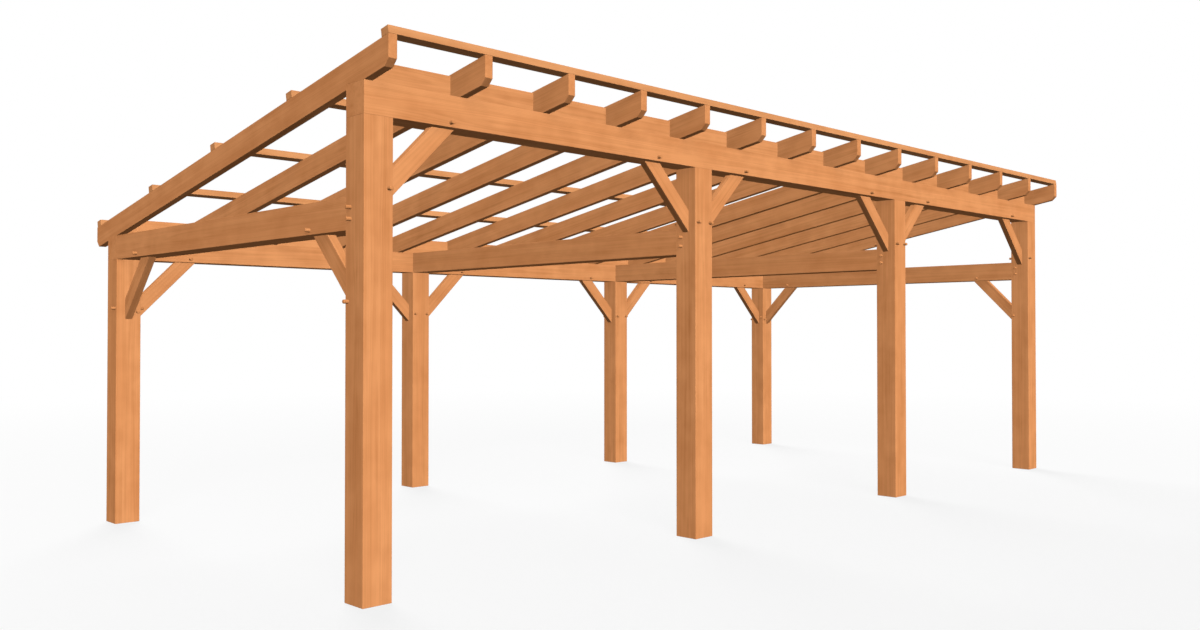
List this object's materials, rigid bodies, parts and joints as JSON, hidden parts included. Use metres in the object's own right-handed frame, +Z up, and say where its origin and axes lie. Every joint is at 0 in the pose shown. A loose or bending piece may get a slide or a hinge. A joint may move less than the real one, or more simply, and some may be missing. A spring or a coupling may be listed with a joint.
{
  "type": "wooden canopy",
  "caption": "Open timber canopy frame with a single-pitch roof of rafters and battens on plates, tie beams, knee braces and square posts, pegged throughout; an open shelter.",
  "frame": {"origin": "centre of the plan at ground level, under the middle of the roof", "axes": "+X along the length to the right, +Y to the low rear side, +Z up"},
  "size_m": [9.168, 4.53, 3.3605],
  "materials": {
    "frame_timber": "planed softwood, matt",
    "roof_timber": "planed softwood, matt",
    "board_timber": "planed softwood, matt",
    "peg_timber": "turned wood, matt"
  },
  "bodies": {
    "root": {"front_post_1": "frame_timber", "front_post_2": "frame_timber", "front_post_3": "frame_timber", "front_post_4": "frame_timber", "rear_post_1": "frame_timber", "rear_post_2": "frame_timber", "rear_post_3": "frame_timber", "rear_post_4": "frame_timber", "front_plate": "frame_timber", "rear_plate": "frame_timber", "tie_beam_1": "frame_timber", "tie_beam_2": "frame_timber", "tie_beam_3": "frame_timber", "tie_beam_4": "frame_timber", "front_row_braces": "frame_timber", "rear_row_braces": "frame_timber", "left_frame_braces": "frame_timber", "right_frame_braces": "frame_timber", "rafter_01": "roof_timber", "rafter_02": "roof_timber", "rafter_03": "roof_timber", "rafter_04": "roof_timber", "rafter_05": "roof_timber", "rafter_06": "roof_timber", "rafter_07": "roof_timber", "rafter_08": "roof_timber", "rafter_09": "roof_timber", "rafter_10": "roof_timber", "rafter_11": "roof_timber", "rafter_12": "roof_timber", "rafter_13": "roof_timber", "rafter_14": "roof_timber", "roof_batten_1": "roof_timber", "roof_batten_2": "roof_timber", "roof_batten_3": "roof_timber", "roof_batten_4": "roof_timber", "roof_batten_5": "roof_timber", "front_blocking": "board_timber", "rear_blocking": "board_timber", "front_row_pegs": "peg_timber", "rear_row_pegs": "peg_timber", "end_frame_pegs": "peg_timber", "tie_pegs": "peg_timber"}
  },
  "joints": []
}
